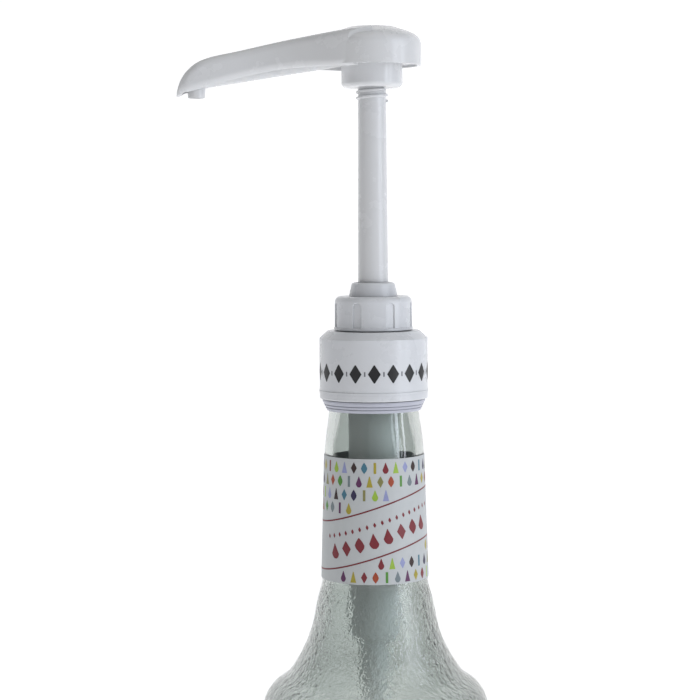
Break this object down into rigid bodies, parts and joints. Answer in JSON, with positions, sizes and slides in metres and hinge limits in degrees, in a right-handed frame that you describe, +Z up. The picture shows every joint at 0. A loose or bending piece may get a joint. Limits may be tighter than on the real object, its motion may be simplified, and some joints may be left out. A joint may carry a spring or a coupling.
{
  "type": "condiment pump dispenser",
  "caption": "Long-spout push pump with an adaptor collar and ribbed closure, screwed on a clear glass bottle with a printed neck wrap.",
  "frame": {"origin": "on the bottle's axis, in the plane that the bottle stands on", "axes": "+Z up along the bottle and the pump's stem; the spout points along -X; the front is towards -Y"},
  "size_m": [0.1077, 0.08, 0.3775],
  "materials": {
    "clear_glass": "clear moulded glass, smooth neck, hammered shoulder and body",
    "label_paper": "coated paper wrap with a printed pattern",
    "ring_plastic": "moulded polyethylene, slightly translucent",
    "liner_foam": "closed cell foam",
    "white_plastic": "moulded polypropylene, satin gloss",
    "gasket_rubber": "soft grey elastomer",
    "natural_plastic": "natural polypropylene, translucent",
    "ball_steel": "ground stainless ball",
    "spring_steel": "drawn stainless wire"
  },
  "bodies": {
    "bottle": {"bottle": "clear_glass", "neck_label": "label_paper", "retaining_ring": "ring_plastic"},
    "liner": {"bottle_liner": "liner_foam"},
    "collar": {"adaptor_collar": "white_plastic"},
    "pump_body": {"pump_cylinder": "natural_plastic", "flange_gasket": "gasket_rubber", "guide_nut": "white_plastic", "stem_wiper": "gasket_rubber", "ball_cage": "natural_plastic", "dip_tube": "natural_plastic", "return_spring": "spring_steel"},
    "closure": {"closure_cap": "white_plastic"},
    "inlet_valve": {"inlet_ball": "ball_steel"},
    "plunger": {"piston": "natural_plastic", "piston_seal_lower": "gasket_rubber", "piston_seal_upper": "gasket_rubber"},
    "outlet_valve": {"outlet_ball": "ball_steel"},
    "head": {"stem": "white_plastic", "spout_base": "white_plastic", "spout_cover": "white_plastic"}
  },
  "joints": [
    {"name": "liner_lift", "type": "slide", "parent": "bottle", "child": "liner", "axis": [0, 0, 1], "range_m": [0, 0.00485]},
    {"name": "collar_turn", "type": "hinge", "parent": "liner", "child": "collar", "pos_m": [0, 0, 0.2725], "axis": [0, 0, 1], "range_deg": [0, 500]},
    {"name": "pump_lift", "type": "slide", "parent": "collar", "child": "pump_body", "axis": [0, 0, 1], "range_m": [0, 0.00417]},
    {"name": "closure_turn", "type": "hinge", "parent": "pump_body", "child": "closure", "pos_m": [0, 0, 0.2845], "axis": [0, 0, 1], "range_deg": [0, 470]},
    {"name": "plunger_stroke", "type": "slide", "parent": "pump_body", "child": "plunger", "axis": [0, 0, 1], "range_m": [-0.06, 0], "stiffness_N_per_m": 120, "springref_m": 0.06, "deforming": ["return_spring"]},
    {"name": "head_swivel", "type": "hinge", "parent": "plunger", "child": "head", "pos_m": [0, 0, 0.27055], "axis": [0, 0, 1], "continuous": true},
    {"name": "inlet_ball_lift", "type": "slide", "parent": "pump_body", "child": "inlet_valve", "axis": [0, 0, 1], "range_m": [0, 0.002]},
    {"name": "outlet_ball_lift", "type": "slide", "parent": "plunger", "child": "outlet_valve", "axis": [0, 0, 1], "range_m": [0, 0.0014]}
  ],
  "couplings": [
    {"joint": "collar_turn", "follows": "liner_lift", "rad_per_m": 1795.2},
    {"joint": "closure_turn", "follows": "pump_lift", "rad_per_m": 1963.5}
  ]
}
